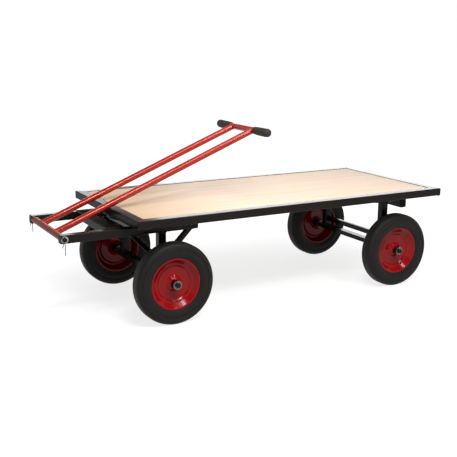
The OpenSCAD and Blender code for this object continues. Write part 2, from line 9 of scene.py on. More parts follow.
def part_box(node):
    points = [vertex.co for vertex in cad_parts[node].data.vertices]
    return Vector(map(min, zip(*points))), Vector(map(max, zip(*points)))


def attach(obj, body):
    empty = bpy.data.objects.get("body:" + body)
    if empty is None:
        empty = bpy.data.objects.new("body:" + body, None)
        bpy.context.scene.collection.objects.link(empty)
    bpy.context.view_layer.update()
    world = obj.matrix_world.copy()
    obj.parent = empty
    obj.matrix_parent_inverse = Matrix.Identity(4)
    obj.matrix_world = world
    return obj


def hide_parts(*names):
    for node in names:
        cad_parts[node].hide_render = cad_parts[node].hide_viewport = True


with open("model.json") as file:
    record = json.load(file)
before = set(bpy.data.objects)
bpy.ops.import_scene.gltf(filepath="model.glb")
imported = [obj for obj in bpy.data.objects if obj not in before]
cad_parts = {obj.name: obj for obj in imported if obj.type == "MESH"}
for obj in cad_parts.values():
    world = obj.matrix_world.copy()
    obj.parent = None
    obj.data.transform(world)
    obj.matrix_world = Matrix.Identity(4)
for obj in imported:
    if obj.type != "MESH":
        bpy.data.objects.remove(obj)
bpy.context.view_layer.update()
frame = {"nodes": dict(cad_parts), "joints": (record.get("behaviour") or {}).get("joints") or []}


# ---- Deck frame ----
# Four lengths of 50 x 40 mm steel box section, mitred, welded and ground flush at the corners.
# They are powder coated gloss black: a deep, slightly warm black under a smooth skin with a very faint
# orange peel. The front rail has a darker, duller copy of the coat: painted shade for its dark front face.

def linear(hex_colour):
    """The linear RGBA of an sRGB hex colour."""
    parts = [int(hex_colour[i:i + 2], 16) / 255 for i in (1, 3, 5)]
    return [c / 12.92 if c <= 0.04045 else ((c + 0.055) / 1.055) ** 2.4 for c in parts] + [1.0]


def add(tree, kind, inputs=None, **settings):
    """A new node. An input that is given a socket is linked to it, and any other value is set on it."""
    node = tree.nodes.new(kind)
    for name, value in settings.items():
        setattr(node, name, value)
    for key, value in (inputs or {}).items():
        socket = node.inputs[key]
        if isinstance(value, bpy.types.NodeSocket):
            tree.links.new(value, socket)
        else:
            socket.default_value = value
    return node


def start_material(name):
    """An empty material: its tree, its shader and the object coordinates that its patterns read."""
    material = bpy.data.materials.new(name)
    material.use_nodes = True
    tree = material.node_tree
    shader = tree.nodes["Principled BSDF"]
    place = add(tree, "ShaderNodeTexCoord").outputs["Object"]
    return material, tree, shader, place


def powder_coat(name, dark, light, roughness, specular, corner=0.0):
    """Gloss powder coat on steel. The skin has a faint orange peel, whose 1 mm cells are drawn at 4 mm,
    and it draws a light line along the rolled corners of a section, whose radius is given if it has any."""
    material, tree, shader, place = start_material(name)
    cloud = add(tree, "ShaderNodeTexNoise", {"Vector": place, "Scale": 7.0, "Detail": 3.0})
    tone = add(tree, "ShaderNodeMix", {0: cloud.outputs[0], 6: linear(dark), 7: linear(light)},
               data_type="RGBA")
    peel = add(tree, "ShaderNodeTexNoise", {"Vector": place, "Scale": 250.0, "Detail": 1.0})
    gloss = add(tree, "ShaderNodeMapRange", {0: cloud.outputs[0], 3: roughness, 4: roughness + 0.08})
    bump = add(tree, "ShaderNodeBump", {"Height": peel.outputs[0], "Strength": 0.03, "Distance": 0.0004})
    if corner:
        rolled = add(tree, "ShaderNodeBevel", {"Radius": corner}, samples=6)
        tree.links.new(rolled.outputs[0], bump.inputs["Normal"])
    tree.links.new(tone.outputs[2], shader.inputs["Base Color"])
    tree.links.new(gloss.outputs[0], shader.inputs["Roughness"])
    tree.links.new(bump.outputs[0], shader.inputs["Normal"])
    shader.inputs["IOR"].default_value = 1.5
    shader.inputs["Specular IOR Level"].default_value = specular
    return material


def finish_nodes(material, *names):
    """Gives CAD pieces a finish."""
    for name in names:
        mesh = frame["nodes"][name].data
        mesh.materials.clear()
        mesh.materials.append(material)


rolled_corner = 0.003
black_coat = powder_coat("gloss_black_powder_coat", "#181311", "#221b18", 0.13, 0.1, rolled_corner)
# A darker, duller copy of the black coat is painted shade for the dark front faces.
shaded_front_coat = powder_coat("shaded_black_powder_coat", "#151110", "#1e1816", 0.17, 0.03, rolled_corner)
finish_nodes(black_coat, "deck_side_rail_left", "deck_side_rail_right", "deck_end_rail_rear")
finish_nodes(shaded_front_coat, "deck_end_rail_front")


# ---- Cross bearers and the welds of the deck ----
# Flat box sections under the board, fillet welded between the side rails and coated with the frame.
# The welds are hand-laid MIG beads: overlapping ripples a few millimetres apart.

finish_nodes(black_coat, "deck_bearers")


def solids(node):
    """The box of each separate solid of a CAD node, as (lowest corner, highest corner)."""
    work = bmesh.new()
    work.from_mesh(frame["nodes"][node].data)
    bmesh.ops.remove_doubles(work, verts=work.verts, dist=1e-6)
    left = set(work.verts)
    found = []
    while left:
        queue = [left.pop()]
        points = []
        while queue:
            vert = queue.pop()
            points.append(vert.co.copy())
            for edge in vert.link_edges:
                other = edge.other_vert(vert)
                if other in left:
                    left.remove(other)
                    queue.append(other)
        low = Vector([min(p[i] for p in points) for i in range(3)])
        high = Vector([max(p[i] for p in points) for i in range(3)])
        found.append((low, high))
    work.free()
    return sorted(found, key=lambda box: tuple(round(v, 4) for v in box[0]))


def make_weld_tree():
    """Geometry Nodes that lay a rippled weld bead along the edges of a mesh."""
    tree = bpy.data.node_groups.new("weld_bead", "GeometryNodeTree")
    for name, kind in (("Geometry", "NodeSocketGeometry"), ("Ripple Pitch", "NodeSocketFloat"),
                       ("Bead Radius", "NodeSocketFloat"), ("Seed", "NodeSocketInt"),
                       ("Paint", "NodeSocketMaterial")):
        tree.interface.new_socket(name, in_out="INPUT", socket_type=kind)
    tree.interface.new_socket("Geometry", in_out="OUTPUT", socket_type="NodeSocketGeometry")
    given = add(tree, "NodeGroupInput").outputs
    path = add(tree, "GeometryNodeMeshToCurve", {"Mesh": given["Geometry"]})
    ripples = add(tree, "GeometryNodeResampleCurve",
                  {"Curve": path.outputs[0], "Length": given["Ripple Pitch"]}, mode="LENGTH")
    drop = add(tree, "GeometryNodeMeshIcoSphere", {"Radius": 1.0, "Subdivisions": 2})
    along = add(tree, "GeometryNodeInputTangent")
    turn = add(tree, "FunctionNodeAlignRotationToVector", {"Vector": along.outputs[0]}, axis="X")
    uneven = add(tree, "FunctionNodeRandomValue", {"Seed": given["Seed"]}, data_type="FLOAT")
    uneven.inputs[2].default_value = 0.88
    uneven.inputs[3].default_value = 1.12
    width = add(tree, "ShaderNodeMath", {0: given["Bead Radius"], 1: uneven.outputs[1]},
                operation="MULTIPLY")
    size = add(tree, "ShaderNodeCombineXYZ",
               {"X": given["Ripple Pitch"], "Y": width.outputs[0], "Z": width.outputs[0]})
    laid = add(tree, "GeometryNodeInstanceOnPoints",
               {"Points": ripples.outputs[0], "Instance": drop.outputs[0], "Rotation": turn.outputs[0],
                "Scale": size.outputs[0]})
    real = add(tree, "GeometryNodeRealizeInstances", {"Geometry": laid.outputs[0]})
    painted = add(tree, "GeometryNodeSetMaterial",
                  {"Geometry": real.outputs[0], "Material": given["Paint"]})
    add(tree, "NodeGroupOutput", {"Geometry": painted.outputs[0]})
    return tree


def mesh_object(name, vertices, edges=(), faces=()):
    """A new object at the origin with its place in its mesh."""
    mesh = bpy.data.meshes.new(name)
    mesh.from_pydata([tuple(v) for v in vertices], list(edges), list(faces))
    mesh.update()
    piece = bpy.data.objects.new(name, mesh)
    bpy.context.scene.collection.objects.link(piece)
    return piece


def grow(piece, tree, values):
    """Runs a Geometry Nodes tree on a piece and keeps the result as its plain mesh."""
    modifier = piece.modifiers.new(tree.name, "NODES")
    modifier.node_group = tree
    sockets = {s.name: s.identifier for s in tree.interface.items_tree if s.in_out == "INPUT"}
    for name, value in values.items():
        modifier[sockets[name]] = value
    evaluated = piece.evaluated_get(bpy.context.evaluated_depsgraph_get())
    grown = bpy.data.meshes.new_from_object(evaluated)
    piece.modifiers.remove(modifier)
    piece.data = grown
    piece.data.shade_smooth()


weld_tree = make_weld_tree()
ripple_pitch = 0.0032


def weld(name, body, runs, paint, seed, radius=0.0028):
    """One piece with all the weld beads of a body. A run is a list of points."""
    vertices, edges = [], []
    for run in runs:
        first = len(vertices)
        vertices.extend(run)
        edges.extend((first + i, first + i + 1) for i in range(len(run) - 1))
    beads = mesh_object(name, vertices, edges)
    grow(beads, weld_tree,
         {"Ripple Pitch": ripple_pitch, "Bead Radius": radius, "Seed": seed, "Paint": paint})
    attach(beads, body)


def loop_round(low, high, axis, level):
    """The four corners of a box's outline across an axis, as a closed run at one level."""
    a, b = [i for i in range(3) if i != axis]
    corners = ((low[a], low[b]), (high[a], low[b]), (high[a], high[b]), (low[a], high[b]), (low[a], low[b]))
    run = []
    for u, v in corners:
        point = [0.0, 0.0, 0.0]
        point[axis], point[a], point[b] = level, u, v
        run.append(Vector(point))
    return run


deck_runs = []
for low, high in solids("deck_bearers"):
    outline = ((low.x, high.z), (low.x, low.z), (high.x, low.z), (high.x, high.z))
    for level in (low.y, high.y):
        deck_runs.append([Vector((x, level, z)) for x, z in outline])
rail_low, rail_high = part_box("deck_side_rail_left")
end_low, end_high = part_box("deck_end_rail_front")
rail_width = end_high.x - end_low.x
weld_top = rail_high.z - rail_low.z - 0.018
for x, inner_x in ((rail_low.x, rail_low.x + rail_width), (rail_high.x, rail_high.x - rail_width)):
    for side in (-1, 1):
        outer = Vector((x, side * rail_high.y, rail_low.z))
        inner = Vector((inner_x, side * (rail_high.y - rail_width), rail_low.z))
        deck_runs.append([outer.lerp(inner, 0.1), inner])
        deck_runs.append([inner, inner + Vector((0, 0, weld_top))])
weld("deck_welds", "chassis", deck_runs, black_coat, 1)


# ---- Plywood board ----
# An 18 mm birch-faced plywood sheet lying on the bearers, sanded and sealed. Its face has long faint grain
# lines and pink and cream patches, turns darker and yellower towards the front, and its edge shows the 1.4
# mm plies.

ply = 0.0014


def plywood(name):
    """Birch veneer with its grain along X, and layers of end grain on the sheet's edges. The pores are
    drawn 2.4 mm wide."""
    material, tree, shader, place = start_material(name)
    stretch = add(tree, "ShaderNodeMapping", {"Vector": place, "Scale": (1.6, 30.0, 30.0)})
    figure = add(tree, "ShaderNodeTexNoise", {"Vector": stretch.outputs[0], "Scale": 1.0, "Detail": 5.0,
                                              "Roughness": 0.6, "Distortion": 0.6})
    fine = add(tree, "ShaderNodeMapping", {"Vector": place, "Scale": (9.0, 420.0, 420.0)})
    pores = add(tree, "ShaderNodeTexNoise", {"Vector": fine.outputs[0], "Scale": 1.0, "Detail": 2.0})
    cloud = add(tree, "ShaderNodeTexNoise", {"Vector": place, "Scale": 4.5, "Detail": 2.0})
    face = add(tree, "ShaderNodeValToRGB", {"Fac": figure.outputs[0]})
    face.color_ramp.elements[0].position = 0.3
    face.color_ramp.elements[0].color = linear("#dfc3a6")
    face.color_ramp.elements[1].position = 0.7
    face.color_ramp.elements[1].color = linear("#f6e6d5")
    pore_mask = add(tree, "ShaderNodeMapRange", {0: pores.outputs[0], 1: 0.62, 2: 0.78, 3: 0.0, 4: 0.35})
    pored = add(tree, "ShaderNodeMix", {0: pore_mask.outputs[0], 6: face.outputs[0], 7: linear("#c6a883")},
                data_type="RGBA")
    patch = add(tree, "ShaderNodeMix", {0: cloud.outputs[0], 6: linear("#efd5a8"), 7: linear("#efd2c8")},
                data_type="RGBA")
    patched = add(tree, "ShaderNodeMix", {0: 0.5, 6: pored.outputs[2], 7: patch.outputs[2]},
                  data_type="RGBA")
    parts = add(tree, "ShaderNodeSeparateXYZ", {"Vector": place})
    # The face turns darker and yellower towards the front.
    towards_front = add(tree, "ShaderNodeMapRange", {0: parts.outputs["X"], 1: 0.15, 2: 0.75, 3: 0.0, 4: 0.75})
    warm = add(tree, "ShaderNodeMix", {0: towards_front.outputs[0], 6: patched.outputs[2], 7: linear("#c6a478")},
               data_type="RGBA")
    layer = add(tree, "ShaderNodeMath", {0: parts.outputs["Z"], 1: 2 * ply}, operation="MODULO")
    dark_ply = add(tree, "ShaderNodeMath", {0: layer.outputs[0], 1: ply}, operation="GREATER_THAN")
    edge = add(tree, "ShaderNodeMix", {0: dark_ply.outputs[0], 6: linear("#d9bd95"), 7: linear("#b08a5e")},
               data_type="RGBA")
    normal = add(tree, "ShaderNodeNewGeometry")
    upright = add(tree, "ShaderNodeSeparateXYZ", {"Vector": normal.outputs["True Normal"]})
    flatness = add(tree, "ShaderNodeMath", {0: upright.outputs["Z"]}, operation="ABSOLUTE")
    is_face = add(tree, "ShaderNodeMath", {0: flatness.outputs[0], 1: 0.5}, operation="GREATER_THAN")
    colour = add(tree, "ShaderNodeMix", {0: is_face.outputs[0], 6: edge.outputs[2], 7: warm.outputs[2]},
                 data_type="RGBA")
    rough = add(tree, "ShaderNodeMapRange", {0: figure.outputs[0], 3: 0.42, 4: 0.55})
    bump = add(tree, "ShaderNodeBump", {"Height": pores.outputs[0], "Strength": 0.15, "Distance": 0.0002})
    tree.links.new(colour.outputs[2], shader.inputs["Base Color"])
    tree.links.new(rough.outputs[0], shader.inputs["Roughness"])
    tree.links.new(bump.outputs[0], shader.inputs["Normal"])
    shader.inputs["Specular IOR Level"].default_value = 0.16
    return material


finish_nodes(plywood("sealed_birch_plywood"), "deck_board")


# ---- Board screws ----
# Zinc-plated pan-head screws with a cross recess, driven up through the bearers into the board.
# Bright zinc is a cool silver metal whose passivated skin breaks its gloss up in soft patches.

def cloudy_metal(name, base, shade, roughness):
    """A plated or polished metal with soft patches of duller and brighter skin."""
    material, tree, shader, place = start_material(name)
    cloud = add(tree, "ShaderNodeTexNoise", {"Vector": place, "Scale": 90.0, "Detail": 4.0})
    tone = add(tree, "ShaderNodeMix", {0: cloud.outputs[0], 6: linear(shade), 7: linear(base)},
               data_type="RGBA")
    gloss = add(tree, "ShaderNodeMapRange", {0: cloud.outputs[0], 3: roughness, 4: roughness + 0.15})
    tree.links.new(tone.outputs[2], shader.inputs["Base Color"])
    tree.links.new(gloss.outputs[0], shader.inputs["Roughness"])
    shader.inputs["Metallic"].default_value = 1.0
    return material


def pan_head(name, head_radius, head_height, shank_radius, shank_length):
    """A screw with its seat at z = 0, its domed, crossed head below and its shank above."""
    around = 20
    rings = [(shank_radius, shank_length), (shank_radius, 0.0), (head_radius, 0.0),
             (head_radius, -0.4 * head_height), (0.88 * head_radius, -0.75 * head_height),
             (0.62 * head_radius, -0.95 * head_height)]
    angles = [math.tau * i / around for i in range(around)]
    vertices, faces = [], []
    for radius, z in rings:
        for a in angles:
            vertices.append((radius * math.cos(a), radius * math.sin(a), z))
    for a in angles:
        arm = 0.5 + 0.5 * math.cos(4 * a)
        radius = head_radius * (0.16 + 0.34 * arm)
        vertices.append((radius * math.cos(a), radius * math.sin(a), -head_height))
    floor_radius = 0.1 * head_radius
    for a in angles:
        vertices.append((floor_radius * math.cos(a), floor_radius * math.sin(a), -0.35 * head_height))
    for ring in range(len(rings) + 1):
        low, high = ring * around, (ring + 1) * around
        for i in range(around):
            j = (i + 1) % around
            faces.append((low + i, high + i, high + j, low + j))
    faces.append(tuple(range(around)))
    last_ring = (len(rings) + 1) * around
    faces.append(tuple(reversed(range(last_ring, last_ring + around))))
    screw = mesh_object(name, vertices, (), faces)
    work = bmesh.new()
    work.from_mesh(screw.data)
    bmesh.ops.recalc_face_normals(work, faces=work.faces)
    work.to_mesh(screw.data)
    work.free()
    return screw


def make_screw_tree():
    """Geometry Nodes that put one screw at each vertex, each turned to a different angle."""
    tree = bpy.data.node_groups.new("screws_on_points", "GeometryNodeTree")
    for name, kind in (("Geometry", "NodeSocketGeometry"), ("Screw", "NodeSocketObject"),
                       ("Seed", "NodeSocketInt"), ("Plate", "NodeSocketMaterial")):
        tree.interface.new_socket(name, in_out="INPUT", socket_type=kind)
    tree.interface.new_socket("Geometry", in_out="OUTPUT", socket_type="NodeSocketGeometry")
    given = add(tree, "NodeGroupInput").outputs
    screw = add(tree, "GeometryNodeObjectInfo", {"Object": given["Screw"]})
    angle = add(tree, "FunctionNodeRandomValue", {"Seed": given["Seed"]}, data_type="FLOAT")
    angle.inputs[2].default_value = 0.0
    angle.inputs[3].default_value = math.tau
    turn = add(tree, "ShaderNodeCombineXYZ", {"Z": angle.outputs[1]})
    placed = add(tree, "GeometryNodeInstanceOnPoints",
                 {"Points": given["Geometry"], "Instance": screw.outputs["Geometry"],
                  "Rotation": turn.outputs[0]})
    real = add(tree, "GeometryNodeRealizeInstances", {"Geometry": placed.outputs[0]})
    plated = add(tree, "GeometryNodeSetMaterial",
                 {"Geometry": real.outputs[0], "Material": given["Plate"]})
    add(tree, "NodeGroupOutput", {"Geometry": plated.outputs[0]})
    return tree


zinc_plate = cloudy_metal("bright_zinc_plate", "#b4b3b0", "#8b8986", 0.24)
screw_boxes = solids("board_screws")
screw_low, screw_high = screw_boxes[0]
bearer_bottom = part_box("deck_bearers")[0].z
screw_radius = (screw_high.x - screw_low.x) / 2
pattern_screw = pan_head("pattern_screw", screw_radius, bearer_bottom - screw_low.z, screw_radius / 2,
                         screw_high.z - bearer_bottom)
seats = [Vector(((low.x + high.x) / 2, (low.y + high.y) / 2, bearer_bottom)) for low, high in screw_boxes]
board_screws = mesh_object("crossed_board_screws", seats)
grow(board_screws, make_screw_tree(), {"Screw": pattern_screw, "Seed": 4, "Plate": zinc_plate})
board_screws.data.set_sharp_from_angle(angle=math.radians(40))
bpy.data.objects.remove(pattern_screw)
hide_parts("board_screws")
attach(board_screws, "chassis")


# ---- Turntable ----
# A ball-race slewing ring: two pressed and turned steel rings with hardened balls between them. The
# rings are coated with the frame, and their hexagon bolts are zinc plated.

finish_nodes(black_coat, "turntable_upper_ring", "turntable_lower_ring")
finish_nodes(zinc_plate, "upper_ring_bolts", "lower_ring_bolts")
finish_nodes(cloudy_metal("polished_ball_steel", "#dcdcde", "#c4c5c8", 0.06), "turntable_balls")


# ---- Steering frame ----
# Two 40 mm box-section arms joined by cross members, legs and diagonal braces under them, and a solid
# axle. All are welded together and coated gloss black like the deck, and the cross member in front of the
# deck has the deck front rail's darker, duller copy of the coat, which is painted shade.

finish_nodes(black_coat, "drawbar_arm_left", "drawbar_arm_right", "turntable_members", "tail_member",
             "front_leg_left", "front_leg_right", "front_braces", "front_axle")
# The cross member's front face gets the painted-shade copy of the black coat.
finish_nodes(shaded_front_coat, "drawbar_cross_member")

steering_runs = []
for node in ("drawbar_cross_member", "turntable_members", "tail_member"):
    for low, high in solids(node):
        for level in (low.y, high.y):
            steering_runs.append(loop_round(low, high, 1, level))
for node in ("front_leg_left", "front_leg_right"):
    low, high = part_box(node)
    steering_runs.append(loop_round(low, high, 2, low.z))
    steering_runs.append(loop_round(low, high, 2, high.z))
leg_low, leg_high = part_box("front_leg_left")
front_middle = (leg_low.x + leg_high.x) / 2
for low, high in solids("front_braces"):
    foot = (high.y - low.y) * math.sqrt(2)
    if (low.x + high.x) / 2 > front_middle:
        near, top_from, top_to = low.x, high.x - foot, high.x
    else:
        near, top_from, top_to = high.x, low.x, low.x + foot
    steering_runs.append(loop_round(Vector((top_from, low.y, 0)), Vector((top_to, high.y, 0)), 2, high.z))
    steering_runs.append(loop_round(Vector((0, low.y, low.z)), Vector((0, high.y, low.z + foot)), 0, near))
weld("steering_welds", "turntable", steering_runs, black_coat, 2)


# ---- Rear frame ----
# Short rails under the deck, two legs, a cross rail, a flat tie bar and the rear axle, all welded and
# coated gloss black.

finish_nodes(black_coat, "rear_frame_rails", "rear_leg_left", "rear_leg_right", "rear_tie_bar",
             "rear_cross_rail", "rear_axle")

rear_runs = []
for node in ("rear_leg_left", "rear_leg_right"):
    low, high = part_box(node)
    rear_runs.append(loop_round(low, high, 2, low.z))
    rear_runs.append(loop_round(low, high, 2, high.z))
low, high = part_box("rear_tie_bar")
rear_runs.append(loop_round(low, high, 1, low.y))
rear_runs.append(loop_round(low, high, 1, high.y))
cross_low, cross_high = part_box("rear_cross_rail")
for low, high in solids("rear_frame_rails"):
    for x in (cross_low.x, cross_high.x):
        rear_runs.append([Vector((x, low.y, cross_high.z)), Vector((x, high.y, cross_high.z))])
weld("rear_welds", "chassis", rear_runs, black_coat, 3)


# ---- End caps ----
# Injection-moulded polyethylene caps pushed into the open tube ends. They are satin black with a fine
# spark-eroded grain, drawn at 1.5 mm.

def moulded_skin(name, dark, light, roughness, specular, grain_scale, grain_depth):
    """Moulded plastic or rubber with an even fine grain."""
    material, tree, shader, place = start_material(name)
    cloud = add(tree, "ShaderNodeTexNoise", {"Vector": place, "Scale": 18.0, "Detail": 3.0})
    grain = add(tree, "ShaderNodeTexNoise", {"Vector": place, "Scale": grain_scale, "Detail": 2.0})
    tone = add(tree, "ShaderNodeMix", {0: cloud.outputs[0], 6: linear(dark), 7: linear(light)},
               data_type="RGBA")
    gloss = add(tree, "ShaderNodeMapRange", {0: grain.outputs[0], 3: roughness, 4: roughness + 0.15})
    bump = add(tree, "ShaderNodeBump",
               {"Height": grain.outputs[0], "Strength": 0.35, "Distance": grain_depth})
    tree.links.new(tone.outputs[2], shader.inputs["Base Color"])
    tree.links.new(gloss.outputs[0], shader.inputs["Roughness"])
    tree.links.new(bump.outputs[0], shader.inputs["Normal"])
    shader.inputs["IOR"].default_value = 1.5
    shader.inputs["Specular IOR Level"].default_value = specular
    return material


finish_nodes(moulded_skin("satin_black_polyethylene", "#0b0a0a", "#121110", 0.42, 0.07, 700.0, 0.0002),
             "arm_end_caps", "rear_rail_caps")


# ---- Drawbar handle ----
# Round steel tubes, coped and welded into a ladder, and powder coated gloss vermilion. The lower tube
# turns on its rod in white nylon bushes, and its coat is a darker, duller copy: painted shade.

handle_coat = powder_coat("gloss_vermilion_powder_coat", "#9f1902", "#ad2105", 0.12, 0.42)
finish_nodes(handle_coat, "handle_tube_left", "handle_tube_right", "handle_upper_tube")
# The lower tube gets a darker, duller copy of the coat, which is painted shade.
finish_nodes(powder_coat("shaded_vermilion_powder_coat", "#841204", "#901906", 0.2, 0.06),
             "handle_lower_tube")
finish_nodes(moulded_skin("natural_nylon", "#d3d2ca", "#dfded8", 0.35, 0.5, 500.0, 0.0001), "handle_bushes")

fold = next(joint for joint in frame["joints"] if joint["name"] == "handle_fold")
hinge = Vector(fold["pos_m"])
top_low, top_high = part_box("handle_upper_tube")
bottom_low, bottom_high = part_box("handle_lower_tube")
top_centre = (top_low + top_high) / 2
up_handle = Vector((top_centre.x - hinge.x, 0, top_centre.z - hinge.z)).normalized()
handle_face = Vector((0, 1, 0)).cross(up_handle)
tube_low, tube_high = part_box("handle_tube_left")
tube_radius = (tube_high.y - tube_low.y) / 2
tube_y = (tube_high.y + tube_low.y) / 2
lower_radius = (bottom_high.z - bottom_low.z) / 2
upper_radius = (top_high.z - top_low.z) / 2


def saddle(centre, direction, cross_radius):
    """The run of a weld where a long tube meets a cross tube."""
    parts = 32
    run = []
    for i in range(parts + 1):
        a = math.tau * i / parts
        side, lift = tube_radius * math.sin(a), tube_radius * math.cos(a)
        reach = math.sqrt(max(cross_radius ** 2 - lift ** 2, 0.0))
        run.append(centre + Vector((0, side, 0)) + handle_face * lift + direction * reach)
    return run


handle_runs = []
for side in (-1, 1):
    handle_runs.append(saddle(Vector((hinge.x, side * tube_y, hinge.z)), up_handle, lower_radius))
    handle_runs.append(saddle(Vector((top_centre.x, side * tube_y, top_centre.z)), -up_handle, upper_radius))
weld("handle_welds", "handle", handle_runs, handle_coat, 5, radius=0.0024)


# ---- Grips ----
# Moulded PVC grips pushed over the ends of the upper tube: brown-black and matt, with a grain drawn at
# 2.4 mm. Four finger waves run along the underside, and the grip swells to a round closed end.

def lathe(name, outline, origin, axis, up, around=96):
    """Turns a closed outline of (radius, distance along the axis) round the axis through the origin."""
    axis, up = Vector(axis).normalized(), Vector(up).normalized()
    side = axis.cross(up)
    vertices, faces = [], []
    count = len(outline)
    for i in range(around):
        a = math.tau * i / around
        out = up * math.cos(a) + side * math.sin(a)
        vertices.extend(Vector(origin) + out * radius + axis * along for radius, along in outline)
    for i in range(around):
        for j in range(count):
            here, there = i * count, ((i + 1) % around) * count
            k = (j + 1) % count
            faces.append((here + j, here + k, there + k, there + j))
    turned = mesh_object(name, vertices, (), faces)
    work = bmesh.new()
    work.from_mesh(turned.data)
    bmesh.ops.remove_doubles(work, verts=work.verts, dist=1e-6)
    bmesh.ops.recalc_face_normals(work, faces=work.faces)
    work.to_mesh(turned.data)
    work.free()
    turned.data.shade_smooth()
    turned.data.set_sharp_from_angle(angle=math.radians(38))
    return turned


def rounded(corners, steps=5):
    """A closed outline with each (x, y, radius) corner rounded by an arc."""
    points = []
    count = len(corners)
    for i, (x, y, radius) in enumerate(corners):
        here = Vector((x, y))
        before = Vector(corners[i - 1][:2]) - here
        after = Vector(corners[(i + 1) % count][:2]) - here
        if radius <= 0 or before.length < 1e-7 or after.length < 1e-7:
            points.append((x, y))
            continue
        half = before.angle(after) / 2
        reach = min(radius / math.tan(half), 0.49 * before.length, 0.49 * after.length)
        start, end = here + before.normalized() * reach, here + after.normalized() * reach
        middle = here + (before.normalized() + after.normalized()).normalized() * reach / math.cos(half)
        first, last = start - middle, end - middle
        sweep = first.angle_signed(last)
        for step in range(steps + 1):
            turn = -sweep * step / steps
            point = middle + Matrix.Rotation(turn, 2) @ first
            points.append((point.x, point.y))
    return points


grip_rubber = moulded_skin("matt_brown_black_pvc", "#2b2623", "#38322e", 0.6, 0.35, 420.0, 0.0003)
mouth_radius = upper_radius + 0.0028
mouth_chamfer = 0.001
end_wall = 0.004
end_round = 0.013
plain_mouth = 0.012
plain_end = 0.02
finger_waves = 4
wave_depth = 0.0024
long_steps = 56
round_steps = 9

for side in ("left", "right"):
    grip_low, grip_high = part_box("grip_" + side)
    outwards = 1 if side == "left" else -1
    length = grip_high.y - grip_low.y
    mouth = Vector((top_centre.x, grip_low.y if outwards > 0 else grip_high.y, top_centre.z))
    bulge_radius = (grip_high.z - grip_low.z) / 2
    outside = [(upper_radius, 0.0), (mouth_radius - 0.8 * mouth_chamfer, 0.0), (mouth_radius, mouth_chamfer)]
    for i in range(1, long_steps + 1):
        along = mouth_chamfer + (length - plain_end - mouth_chamfer) * i / long_steps
        rise = min(1.0, along / 0.3 / length)
        swell = 0.55 * rise + 0.45 * (along / length) ** 2
        outside.append((mouth_radius + (bulge_radius - mouth_radius) * swell, along))
    closed_end = []
    for i in range(1, round_steps + 1):
        a = 0.5 * math.pi * i / round_steps
        closed_end.append((bulge_radius - end_round + end_round * math.cos(a),
                           length - end_round + end_round * math.sin(a)))
    closed_end += [(0.009, length), (0.0, length)]
    inside = [(0.0, length - end_wall), (upper_radius, length - end_wall)]
    grip = lathe("finger_grip_" + side, outside + closed_end + inside, mouth, (0, outwards, 0), (0, 0, 1),
                 around=64)
    under = -handle_face if handle_face.z > 0 else handle_face
    for vertex in grip.data.vertices:
        along = abs(vertex.co.y - mouth.y)
        spoke = vertex.co - Vector((mouth.x, vertex.co.y, mouth.z))
        on_bore = spoke.length < upper_radius + 0.0005
        if on_bore or along < plain_mouth or along > length - plain_end:
            continue
        facing = max(0.0, spoke.normalized().dot(under))
        phase = (along - plain_mouth) / (length - plain_mouth - plain_end)
        wave = 0.5 - 0.5 * math.cos(math.tau * finger_waves * phase)
        vertex.co += spoke.normalized() * wave_depth * facing ** 1.5 * wave
    grip.data.materials.append(grip_rubber)
    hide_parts("grip_" + side)
    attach(grip, "handle")


# ---- Hinge rod, washers and spring clips ----
# A steel rod coated black with the arms that it passes through, kept by a washer and a clip at each end.
# The clips are bent from zinc-plated spring wire: a straight leg through the rod, a coil, and a second leg
# that hugs the rod and flares away below it.

finish_nodes(black_coat, "hinge_rod")
finish_nodes(zinc_plate, "rod_washers")


def wire(name, runs, radius):
    """Round wires bent along runs of points, as one mesh."""
    curve = bpy.data.curves.new(name, "CURVE")
    curve.dimensions = "3D"
    curve.bevel_depth = radius
    curve.bevel_resolution = 4
    curve.use_fill_caps = True
    for run in runs:
        spline = curve.splines.new("POLY")
        spline.points.add(len(run) - 1)
        for point, spot in zip(spline.points, run):
            point.co = (*spot, 1.0)
    holder = bpy.data.objects.new(name + "_curve", curve)
    bpy.context.scene.collection.objects.link(holder)
    evaluated = holder.evaluated_get(bpy.context.evaluated_depsgraph_get())
    mesh = bpy.data.meshes.new_from_object(evaluated)
    bpy.data.objects.remove(holder)
    piece = bpy.data.objects.new(name, mesh)
    bpy.context.scene.collection.objects.link(piece)
    mesh.shade_smooth()
    mesh.set_sharp_from_angle(angle=math.radians(50))
    return piece


def bent_run(start, steps):
    """A wire's run that starts up +Z. Each step is a straight length, then a bend's radius and its turn
    towards +X in degrees."""
    spot = start
    heading = 0.0
    run = [spot]
    for straight, bend_radius, turn in steps:
        spot = spot + Vector((math.sin(heading), 0, math.cos(heading))) * straight
        run.append(spot)
        parts = round(abs(turn) / 9)
        for i in range(parts):
            bend = math.radians(turn) / parts
            chord = 2 * bend_radius * math.sin(abs(bend) / 2)
            middle = heading + bend / 2
            spot = spot + Vector((math.sin(middle), 0, math.cos(middle))) * chord
            heading += bend
            run.append(spot)
    return run


rod_low, rod_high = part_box("hinge_rod")
rod_radius = (rod_high.z - rod_low.z) / 2
kink_radius = 0.006
flared_leg = 0.023
clip_runs = []
for low, high in solids("spring_clips"):
    clip_wire = (high.y - low.y) / 2
    coil_height = rod_radius + clip_wire
    coil_radius = high.z - hinge.z - coil_height - clip_wire
    start = Vector((hinge.x, (low.y + high.y) / 2, low.z))
    clip_runs.append(bent_run(start, [(hinge.z + coil_height - low.z, coil_radius, 180),
                                      (coil_height, 2 * coil_radius, 45),
                                      (0.0015, kink_radius, -62),
                                      (flared_leg, 0, 0)]))
spring_clips = wire("bent_spring_clips", clip_runs, clip_wire)
spring_clips.data.materials.append(cloudy_metal("zinc_spring_wire", "#77746f", "#5a5753", 0.3))
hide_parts("spring_clips")
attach(spring_clips, "turntable")


# ---- Tyres ----
# Puncture-proof moulded rubber tyres, matt and nearly black. The crown is smooth and rounds over into the
# sides, where the mould's parting line stands up as a thin ring, and the bead grips the rim's flange.

